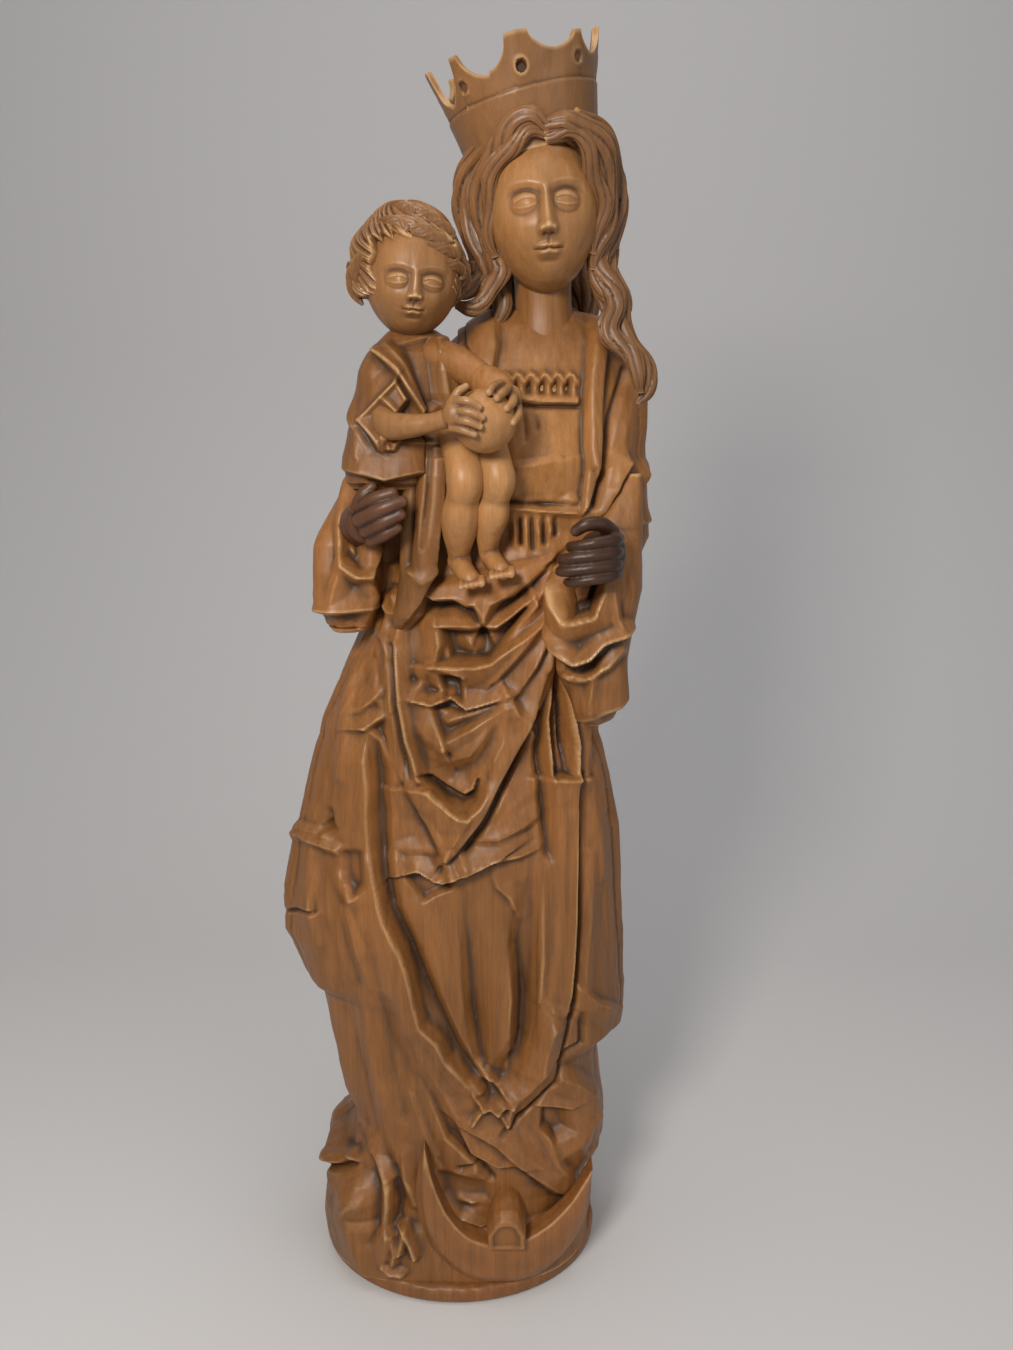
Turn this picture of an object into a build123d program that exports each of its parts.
from build123d import *

import os

# Carved wooden Madonna and Child on a crescent moon, about 0.77 m tall.
#
# Millimetres. +Z is up, the figure faces -Y, and the origin is the middle of the oval plinth's
# underside. "Right" and "left" in the names are the mother's and the child's own sides, so a right
# hand lies at lower X. The body is three upright boards glued side by side, hollowed from the back
# and closed with a board. Heads, hands, sleeves, crown, ball and moon are carved apart and pegged on.

# --- driving dimensions -------------------------------------------------------------------------
PLINTH_WIDTH = 190.0
PLINTH_DEPTH = 158.0
PLINTH_HEIGHT = 12.0
BACK_Y = 48.0  # flat back of the three boards
RIGHT_JOINT_X = -40.0  # glue joint between the right board and the centre board
LEFT_JOINT_X = 52.0  # glue joint between the centre board and the left board
PEG_R = 4.0  # beech pegs that hold the carved pieces
CROWN_PEG_R = 1.5
MOON_PEG_R = 3.0
PEG_GAP = 0.05  # radial room of a peg in its hole
SCEPTRE_R = 3.5  # bore through the mother's left fist
BALL_R = 17.0

# height, lowest x, highest x, foremost y: the outline of the glued block from foot to neck
BODY_SECTIONS = [
    (12, -88, 86, -60),
    (40, -91, 85, -60),
    (52, -94, 90, -60),
    (62, -92, 97, -60),
    (80, -80, 101, -61),
    (95, -70, 99, -62),
    (110, -71, 97, -60),
    (145, -80, 95, -58),
    (167, -85, 111, -57),
    (197, -91, 111, -57),
    (208, -102, 110, -57),
    (234, -114, 109, -58),
    (262, -114, 107, -58),
    (288, -108, 105, -56),
    (320, -99, 102, -53),
    (366, -86, 91, -50),
    (400, -74, 90, -49),
    (430, -60, 96, -49),
    (455, -50, 104, -48),
    (490, -48, 113, -47),
    (530, -46, 114, -45),
    (573, -38, 115, -40),
    (598, -20, 108, -35),
    (614, 2, 94, -30),
    (626, 16, 86, -26),
]
# the same outline in plan, as shares of the width and of the depth in front of the back
HALF_PLAN = [(0.11, 0.0), (0.0, 0.25), (0.0, 0.50), (0.06, 0.74), (0.20, 0.91), (0.40, 0.99)]
PLAN = HALF_PLAN + [(1 - across, deep) for across, deep in reversed(HALF_PLAN)]

HOLLOW_X = 6.0  # middle of the hollow and of the board that closes it
HOLLOW_WIDTH = 56.0
HOLLOW_LOW_Z, HOLLOW_HIGH_Z = 60.0, 560.0
HOLLOW_FLOOR_Y = 14.0
BACK_BOARD_THICKNESS = 8.0
BACK_BOARD_LAP = 9.0  # how far the board laps over the hollow's rim
BACK_SCREW_LENGTH = 16.0

MOON_MID = (33.0, 70.0)  # x and z of the crescent's outer circle
MOON_R = 58.0
MOON_BITE_MID = (36.0, 112.0)
MOON_BITE_R = 55.0
MOON_BEND_X = 15.0  # the crescent follows an upright oval wall around this x
MOON_BEND_WIDTH, MOON_BEND_DEPTH = 104.0, 78.0  # half axes of that wall's outer face
MOON_THICKNESS = 14.0
MOON_PEG_PLACES = [(0, 36), (62, 36)]

HEAD_MID = Vector(53, -26, 668)
FACE_R, FACE_HALF_HEIGHT = 31.0, 40.0
HEAD_TILT = -5.0  # degrees about Y, top of the head towards the child
CROWN_TILT = -14.0
CROWN_SEAT = Vector(49, -14, 703)
CROWN_FOOT_R, CROWN_TOP_R, CROWN_HEIGHT, CROWN_WALL = 36.0, 49.0, 60.0, 4.0
CROWN_LOBES = 8
TENON_HEIGHT = 9.0  # round tenon on the head that the crown sits over
TENON_GAP = 0.4

CHILD_HEAD_MID = Vector(-20, -50, 642)
CHILD_HEAD_R = 28.0
BALL_MID = Vector(21.5, -84, 559)
LEFT_FIST_MID = Vector(78, -80, 490)
RIGHT_FIST_MID = Vector(-38, -60, 507)

PARTS = "parts"


def limb(name, joints):
    """A round limb through (point, radius) joints: a cone along each run and a ball at each joint."""
    with BuildPart() as made:
        for (start, r_start), (end, r_end) in zip(joints, joints[1:]):
            run = Vector(*end) - Vector(*start)
            with Locations(Location(Plane(origin=start, z_dir=run))):
                if abs(r_start - r_end) < 0.01:
                    Cylinder(r_start, run.length, align=(Align.CENTER, Align.CENTER, Align.MIN))
                else:
                    Cone(r_start, r_end, run.length, align=(Align.CENTER, Align.CENTER, Align.MIN))
        for middle, radius in joints:
            with Locations(middle):
                Sphere(radius)
    made.part.label = name
    return made.part


def egg(name, middle, radius, half_height, tilt=0.0):
    """An upright egg shape: half an ellipse turned about its own tilted vertical axis."""
    stand = Plane(origin=middle, x_dir=(1, 0, 0), z_dir=(0, 0, 1)).rotated((0, tilt, 0))
    with BuildPart() as made:
        with BuildSketch(Plane(origin=middle, x_dir=stand.x_dir, z_dir=-stand.y_dir)):
            Ellipse(radius, half_height)
            Rectangle(2 * radius, 2 * half_height + 1, align=(Align.MAX, Align.CENTER), mode=Mode.SUBTRACT)
        revolve(axis=Axis(middle, stand.z_dir))
    made.part.label = name
    return made.part


def peg(start, end, radius=PEG_R):
    """A round peg between two points."""
    run = Vector(*end) - Vector(*start)
    with BuildPart(Plane(origin=start, z_dir=run)) as made:
        Cylinder(radius, run.length, align=(Align.CENTER, Align.CENTER, Align.MIN))
    return made.part


def trimmed(name, piece, *cutters):
    """The piece with its neighbours' shapes cut out of it, keeping only its main solid."""
    with BuildPart() as made:
        add(piece)
        for cutter in cutters:
            add(cutter, mode=Mode.SUBTRACT)
    kept = made.solids().sort_by(SortBy.VOLUME)[-1]
    kept.label = name
    return kept


def group(name, pieces):
    """Several separate solids in one node."""
    return Compound(label=name, children=[solid for piece in pieces for solid in piece.solids()])


def front_slab(name, outline, y_front, y_back, bevel):
    """A block cut to an outline in the front view, with its front edge bevelled."""
    with BuildPart() as made:
        with BuildSketch(Plane(origin=(0, y_back, 0), x_dir=(1, 0, 0), z_dir=(0, -1, 0))):
            with BuildLine():
                Polyline(*outline, close=True)
            make_face()
        extrude(amount=y_back - y_front)
        chamfer(made.faces().sort_by(Axis.Y)[0].edges(), bevel)
    made.part.label = name
    return made.part


# --- the glued block ----------------------------------------------------------------------------
def lofted(name, sections, plan):
    """A straight-sided loft through plan outlines given as shares of each section's box."""
    with BuildPart() as made:
        for z, low_x, high_x, front_y, back_y in sections:
            with BuildSketch(Plane.XY.offset(z)):
                with BuildLine():
                    corners = [
                        (low_x + across * (high_x - low_x), back_y + deep * (front_y - back_y))
                        for across, deep in plan
                    ]
                    Polyline(*corners, close=True)
                make_face()
        loft(ruled=True)
    made.part.label = name
    return made.part


block = lofted("block", [(*section, BACK_Y) for section in BODY_SECTIONS], PLAN)

# --- plinth and moon ----------------------------------------------------------------------------
plinth_screw_places = [(-55, 20), (-10, -30), (35, 20), (70, -5)]
PLINTH_SCREW_R = 2.5
PLINTH_SCREW_LENGTH = 40.0
SCREW_HEAD_R = 4.5
SCREW_HEAD_HEIGHT = 2.3

with BuildPart() as plinth:
    with BuildSketch():
        Ellipse(PLINTH_WIDTH / 2, PLINTH_DEPTH / 2)
    extrude(amount=PLINTH_HEIGHT)
    fillet(plinth.faces().sort_by(Axis.Z)[-1].edges(), 3.0)
    with Locations(Plane.XY.rotated((180, 0, 0))):
        with Locations(*[(x, -y) for x, y in plinth_screw_places]):
            CounterSinkHole(PLINTH_SCREW_R + PEG_GAP, SCREW_HEAD_R + 1.0, PLINTH_HEIGHT)
plinth.part.label = "plinth"


def wood_screw(length, radius, head_r):
    """A countersunk wood screw standing on its head at the origin, with a cross slot."""
    with BuildPart() as screw:
        Cone(head_r, radius, SCREW_HEAD_HEIGHT, align=(Align.CENTER, Align.CENTER, Align.MIN))
        with Locations((0, 0, SCREW_HEAD_HEIGHT)):
            Cylinder(radius, length - SCREW_HEAD_HEIGHT - 2, align=(Align.CENTER, Align.CENTER, Align.MIN))
        with Locations((0, 0, length - 2)):
            Cone(radius, 0.4, 2, align=(Align.CENTER, Align.CENTER, Align.MIN))
        Box(head_r, 1.0, 1.6, mode=Mode.SUBTRACT)
        Box(1.0, head_r, 1.6, mode=Mode.SUBTRACT)
    return screw.part


plinth_screw = wood_screw(PLINTH_SCREW_LENGTH, PLINTH_SCREW_R, SCREW_HEAD_R)
plinth_screws = [Pos(x, y, 1.0) * plinth_screw for x, y in plinth_screw_places]

with BuildPart() as moon:
    with BuildSketch(Plane.XZ):
        with Locations(MOON_MID):
            Circle(MOON_R)
        with Locations(MOON_BITE_MID):
            Circle(MOON_BITE_R, mode=Mode.SUBTRACT)
    extrude(amount=2 * MOON_BEND_DEPTH)
    with BuildSketch():
        with Locations((MOON_BEND_X, 0)):
            Ellipse(MOON_BEND_WIDTH, MOON_BEND_DEPTH)
            Ellipse(
                MOON_BEND_WIDTH - MOON_THICKNESS, MOON_BEND_DEPTH - MOON_THICKNESS, mode=Mode.SUBTRACT
            )
    extrude(amount=200, mode=Mode.INTERSECT)


def moon_peg_ends(x, extra):
    """Front and rear y of a peg whose middle is near the crescent's inner face at x."""
    depth = MOON_BEND_DEPTH - MOON_THICKNESS
    width = MOON_BEND_WIDTH - MOON_THICKNESS
    face_y = -depth * (1 - ((x - MOON_BEND_X) / width) ** 2) ** 0.5
    return face_y - 6, face_y + 16 + extra


def moon_peg_set(radius, extra):
    """The pegs between the crescent and the block, at their places."""
    pegs = []
    for x, z in MOON_PEG_PLACES:
        front_y, rear_y = moon_peg_ends(x, extra)
        pegs.append(peg((x, front_y, z), (x, rear_y, z), radius))
    return pegs


moon_pegs = moon_peg_set(MOON_PEG_R, 0)
moon_peg_holes = moon_peg_set(MOON_PEG_R + PEG_GAP, 1)
moon = trimmed("crescent_moon", moon.part, plinth.part, *moon_peg_holes)

# --- heads, hair and crown ----------------------------------------------------------------------
crown_stand = Plane(
    origin=CROWN_SEAT, x_dir=(1, 0, 0), z_dir=Vector(0, 0, 1).rotate(Axis.Y, CROWN_TILT)
)

neck = limb("neck", [((52, -6, 600), 17), ((53, -20, 652), 15)])
skull = egg("skull", HEAD_MID, FACE_R, FACE_HALF_HEIGHT, HEAD_TILT)
with BuildPart() as mother_head:
    add(neck)
    add(skull)
    with Locations(Location((52, -2, 672), (0, HEAD_TILT, 0))):
        Sphere(37)
    with Locations((52, -2, 590)):
        Box(200, 200, 28, mode=Mode.SUBTRACT)
    with Locations(Location(crown_stand)):
        Cylinder(100, 40, align=(Align.CENTER, Align.CENTER, Align.MIN), mode=Mode.SUBTRACT)
        Cone(CROWN_FOOT_R - 3, CROWN_FOOT_R + 1, 22, align=(Align.CENTER, Align.CENTER, Align.MAX))
        Cylinder(
            CROWN_FOOT_R - CROWN_WALL - TENON_GAP, TENON_HEIGHT, align=(Align.CENTER, Align.CENTER, Align.MIN)
        )

with BuildPart() as crown_ring:
    with BuildSketch(Plane.XZ):
        with BuildLine():
            Polyline(
                (CROWN_FOOT_R, 0),
                (CROWN_TOP_R, CROWN_HEIGHT),
                (CROWN_TOP_R - CROWN_WALL, CROWN_HEIGHT),
                (CROWN_FOOT_R - CROWN_WALL, 0),
                close=True,
            )
        make_face()
    revolve(axis=Axis.Z)
    with PolarLocations(0, CROWN_LOBES, start_angle=180 / CROWN_LOBES):
        with Locations(Location((CROWN_TOP_R - CROWN_WALL, 0, CROWN_HEIGHT + 6), (0, 90, 0))):
            Cylinder(15, 24, mode=Mode.SUBTRACT)
    with PolarLocations(0, CROWN_LOBES):
        with Locations(Location((CROWN_TOP_R - 1.5, 0, CROWN_HEIGHT - 17), (0, 90, 0))):
            Cylinder(2.2, 6, align=(Align.CENTER, Align.CENTER, Align.MIN), mode=Mode.SUBTRACT)
crown_placed = Location(crown_stand) * crown_ring.part
crown_peg_ends = [
    (
        tuple(crown_stand.from_local_coords((side * (CROWN_FOOT_R + 1), 0, TENON_HEIGHT / 2))),
        tuple(crown_stand.from_local_coords((side * (CROWN_FOOT_R - 14), 0, TENON_HEIGHT / 2))),
    )
    for side in (-1, 1)
]
crown_pegs = [peg(a, b, CROWN_PEG_R) for a, b in crown_peg_ends]
crown_peg_holes = [peg(a, b, CROWN_PEG_R + PEG_GAP) for a, b in crown_peg_ends]

right_hair = limb(
    "right_hair_lock",
    [
        ((24, -12, 700), 6),
        ((16, -14, 676), 9),
        ((26, -20, 654), 8),
        ((12, -18, 636), 7),
        ((2, -14, 628), 3.5),
    ],
)
left_hair = limb(
    "left_hair_lock",
    [
        ((82, -12, 702), 6),
        ((96, -14, 682), 10),
        ((86, -18, 660), 8),
        ((98, -18, 636), 8),
        ((102, -24, 610), 6),
        ((115, -26, 590), 6),
        ((117, -28, 572), 3),
    ],
)

child_head = egg("child_head", CHILD_HEAD_MID, CHILD_HEAD_R, 32.0, 6.0)
child_neck = limb("child_neck", [((-19, -40, 590), 9), ((-20, -46, 620), 9)])

# --- the child ----------------------------------------------------------------------------------
CHILD_SECTIONS = [
    # height, lowest x, highest x, foremost y, rearmost y
    (448, -24, -6, -62, -40),
    (480, -22, -2, -63, -36),
    (520, -20, 0, -64, -32),
]
CHILD_COAT = [
    (522, -61, 2, -66, -6),
    (534, -62, 3, -67, -6),
    (572, -54, 4, -70, -8),
    (596, -44, 2, -64, -14),
    (606, -36, -4, -58, -22),
]


COAT_PLAN = [(0, 0.65), (0.2, 1), (0.8, 1), (1, 0.65), (1, 0.2), (0.85, 0), (0.15, 0), (0, 0.2)]

with BuildPart() as child_coat:
    add(lofted("coat", CHILD_COAT, COAT_PLAN))
    add(lofted("lapel", CHILD_SECTIONS, COAT_PLAN))
    with Locations((-10, -48, 521)):
        Box(20, 24, 4)

with BuildPart() as ball_turned:
    with Locations(BALL_MID):
        Sphere(BALL_R)
ball = ball_turned.part
child_right_arm = limb(
    "child_right_arm",
    [((-46, -62, 580), 10), ((-39, -74, 556), 9), ((-2, -85, 557), 6.5), ((8, -92, 562), 6)],
)
child_left_arm = limb(
    "child_left_arm", [((4, -52, 590), 8), ((14, -62, 582), 6.5), ((27, -76, 577), 4.5), ((36, -80, 569), 4)]
)
child_right_leg = limb(
    "child_right_leg",
    [
        ((4, -60, 552), 11),
        ((8, -70, 529), 10),
        ((6, -62, 511), 10.5),
        ((6, -54, 489), 7),
        ((15, -62, 474), 5),
    ],
)
child_left_leg = limb(
    "child_left_leg",
    [
        ((22, -60, 545), 9.5),
        ((28, -68, 528), 9),
        ((23, -60, 511), 8.5),
        ((23, -53, 494), 6),
        ((31, -60, 479), 5),
    ],
)

# --- sleeves and hands --------------------------------------------------------------------------
RIGHT_SLEEVE_OUTLINE = [
    (-64, 523), (-71, 508), (-79, 489), (-80, 472), (-78, 444), (-57, 437), (-44, 452), (-40, 486), (-44, 520)
]
LEFT_SLEEVE_OUTLINE = [
    (60, 500), (57, 478), (58, 455), (62, 430), (70, 412), (79, 402), (84, 388), (99, 392),
    (104, 416), (108, 446), (113, 478), (104, 500),
]
right_sleeve = front_slab("right_sleeve", RIGHT_SLEEVE_OUTLINE, -48, 18, 8)
left_sleeve = front_slab("left_sleeve", LEFT_SLEEVE_OUTLINE, -72, -20, 8)


def fist(name, middle, thumb_side, wrist_end):
    """A closed hand: palm, four curled fingers one above another, thumb and wrist."""
    x, y, z = middle
    with BuildPart() as made:
        with Locations((x, y - 1, z)):
            Box(24, 22, 28)
        fillet(made.edges().filter_by(Axis.Z), 5)
        add(limb("wrist", [((x, y + 6, z - 2), 9), (wrist_end, 8.5)]))
        for row in range(4):
            finger_z = z + 10 - 6.6 * row
            tip = (x - thumb_side * 13, y - 9, finger_z)
            add(limb("finger", [((x + thumb_side * 11, y - 9, finger_z), 4.0), (tip, 3.6)]))
        thumb_root = (x - thumb_side * 10, y + 4, z + 8)
        thumb_tip = (x - thumb_side * 15, y - 8, z + 11)
        add(limb("thumb", [(thumb_root, 5), (thumb_tip, 4)]))
    made.part.label = name
    return made.part


left_fist_raw = fist("left_hand", tuple(LEFT_FIST_MID), 1, (84, -52, 484))
right_fist_raw = fist("right_hand", tuple(RIGHT_FIST_MID), -1, (-52, -40, 500))
with BuildPart() as sceptre_bore:
    with Locations((LEFT_FIST_MID.X + 2, LEFT_FIST_MID.Y - 2, LEFT_FIST_MID.Z)):
        Cylinder(SCEPTRE_R, 80)

left_hand_peg_run = ((84, -58, 484), (88, -34, 479))
right_hand_peg_run = ((-49, -46, 502), (-60, -24, 494))
hand_pegs = {"left_hand_peg": left_hand_peg_run, "right_hand_peg": right_hand_peg_run}
peg_solids = {name: peg(a, b) for name, (a, b) in hand_pegs.items()}
peg_holes = {name: peg(a, b, PEG_R + PEG_GAP) for name, (a, b) in hand_pegs.items()}

child_peg_runs = [((-30, -22, 545), (-30, 10, 545)), ((-12, -22, 568), (-12, 10, 568))]
child_pegs = [peg(a, b) for a, b in child_peg_runs]
child_peg_holes = [peg(a, b, PEG_R + PEG_GAP) for a, b in child_peg_runs]
ball_peg_run = ((21.5, -76, 559), (21.5, -46, 559))
ball_peg = peg(*ball_peg_run, 2.5)
ball_peg_hole = peg(*ball_peg_run, 2.5 + PEG_GAP)

# --- every piece cut clear of its neighbours ----------------------------------------------------
nodes = {}
nodes["crescent_moon"] = moon
nodes["ball"] = trimmed("ball", ball, ball_peg_hole)
coat = trimmed("child_body", child_coat.part, child_neck, child_head, *child_peg_holes)
nodes["child_body"] = coat
nodes["child_head"] = trimmed("child_head", child_head + child_neck)
nodes["child_right_arm"] = trimmed("child_right_arm", child_right_arm, coat, ball)
nodes["child_left_arm"] = trimmed("child_left_arm", child_left_arm, coat, ball, ball_peg_hole)
nodes["child_right_leg"] = trimmed("child_right_leg", child_right_leg, coat, ball, nodes["child_right_arm"])
nodes["child_left_leg"] = trimmed(
    "child_left_leg", child_left_leg, coat, ball, child_right_leg, child_left_arm, ball_peg_hole
)
nodes["left_hand"] = trimmed("left_hand", left_fist_raw, sceptre_bore.part, peg_holes["left_hand_peg"])
nodes["right_hand"] = trimmed("right_hand", right_fist_raw, coat, peg_holes["right_hand_peg"])
nodes["left_sleeve"] = trimmed(
    "left_sleeve", left_sleeve, left_fist_raw, sceptre_bore.part, peg_holes["left_hand_peg"]
)
nodes["right_sleeve"] = trimmed(
    "right_sleeve", right_sleeve, right_fist_raw, coat, peg_holes["right_hand_peg"]
)
head = trimmed("mother_head", mother_head.part, *crown_peg_holes)
nodes["mother_head"] = head
crown = trimmed("crown", crown_placed, head, *crown_peg_holes)
nodes["crown"] = crown
nodes["right_hair_lock"] = trimmed("right_hair_lock", right_hair, mother_head.part, crown, child_head)
nodes["left_hair_lock"] = trimmed("left_hair_lock", left_hair, mother_head.part, crown)

with BuildPart() as hollow:
    with BuildSketch(Plane.XZ.offset(-BACK_Y)):
        with Locations((HOLLOW_X, (HOLLOW_LOW_Z + HOLLOW_HIGH_Z) / 2)):
            SlotOverall(HOLLOW_HIGH_Z - HOLLOW_LOW_Z, HOLLOW_WIDTH, rotation=90)
    extrude(amount=BACK_Y - HOLLOW_FLOOR_Y)
with BuildPart() as back_board:
    with BuildSketch(Plane.XZ.offset(-BACK_Y)):
        with Locations((HOLLOW_X, (HOLLOW_LOW_Z + HOLLOW_HIGH_Z) / 2)):
            SlotOverall(
                HOLLOW_HIGH_Z - HOLLOW_LOW_Z + 2 * BACK_BOARD_LAP,
                HOLLOW_WIDTH + 2 * BACK_BOARD_LAP,
                rotation=90,
            )
    extrude(amount=BACK_BOARD_THICKNESS)

back_screw_x = HOLLOW_WIDTH / 2 + BACK_BOARD_LAP / 2
back_screw_places = [(HOLLOW_X + s * back_screw_x, z) for z in (110, 310, 510) for s in (-1, 1)]
back_screw = wood_screw(BACK_SCREW_LENGTH, 1.5, 3.0)
to_back = Plane(origin=(0, 0, 0), x_dir=(1, 0, 0), z_dir=(0, -1, 0))
back_screws = [
    Pos(x, BACK_Y - 0.5, z) * (Location(to_back) * back_screw) for x, z in back_screw_places
]
back_screw_holes = [peg((x, BACK_Y + 1, z), (x, BACK_Y - BACK_SCREW_LENGTH - 2, z), 1.5 + PEG_GAP)
                    for x, z in back_screw_places]
back_screw_sinks = [peg((x, BACK_Y + 1, z), (x, BACK_Y - 3.2, z), 3.1) for x, z in back_screw_places]
plinth_screw_holes = [
    peg((x, y, PLINTH_HEIGHT), (x, y, PLINTH_SCREW_LENGTH + 3), PLINTH_SCREW_R + PEG_GAP)
    for x, y in plinth_screw_places
]
nodes["back_board"] = trimmed("back_board", back_board.part, *back_screw_holes, *back_screw_sinks)

seated = [neck, mother_head.part, right_hair, left_hair]
seated += [coat, child_right_leg, child_left_leg, child_left_arm]
seated += [left_sleeve, right_sleeve, left_fist_raw, right_fist_raw, ball, crown_placed, moon]
bored = [*child_peg_holes, ball_peg_hole, *moon_peg_holes, *peg_holes.values()]
bored += [*back_screw_holes, *plinth_screw_holes, hollow.part, back_board.part]
carved_block = trimmed("block", block, *seated, *bored)

with BuildPart() as right_board:
    add(carved_block)
    split(bisect_by=Plane.YZ.offset(RIGHT_JOINT_X), keep=Keep.BOTTOM)
with BuildPart() as left_board:
    add(carved_block)
    split(bisect_by=Plane.YZ.offset(LEFT_JOINT_X), keep=Keep.TOP)
with BuildPart() as centre_board:
    add(carved_block)
    split(bisect_by=Plane.YZ.offset(RIGHT_JOINT_X), keep=Keep.TOP)
    split(bisect_by=Plane.YZ.offset(LEFT_JOINT_X), keep=Keep.BOTTOM)
nodes["right_board"] = trimmed("right_board", right_board.part)
nodes["left_board"] = trimmed("left_board", left_board.part)
nodes["centre_board"] = trimmed("centre_board", centre_board.part)
nodes["plinth"] = plinth.part

nodes["plinth_screws"] = group("plinth_screws", plinth_screws)
nodes["back_board_screws"] = group("back_board_screws", back_screws)
nodes["moon_pegs"] = group("moon_pegs", moon_pegs)
nodes["crown_pegs"] = group("crown_pegs", crown_pegs)
nodes["child_pegs"] = group("child_pegs", child_pegs)
nodes["ball_peg"] = ball_peg
nodes["left_hand_peg"] = peg_solids["left_hand_peg"]
nodes["right_hand_peg"] = peg_solids["right_hand_peg"]

os.makedirs(PARTS, exist_ok=True)
for name, shape in nodes.items():
    shape.label = name
    export_step(shape, f"{PARTS}/{name}.step")
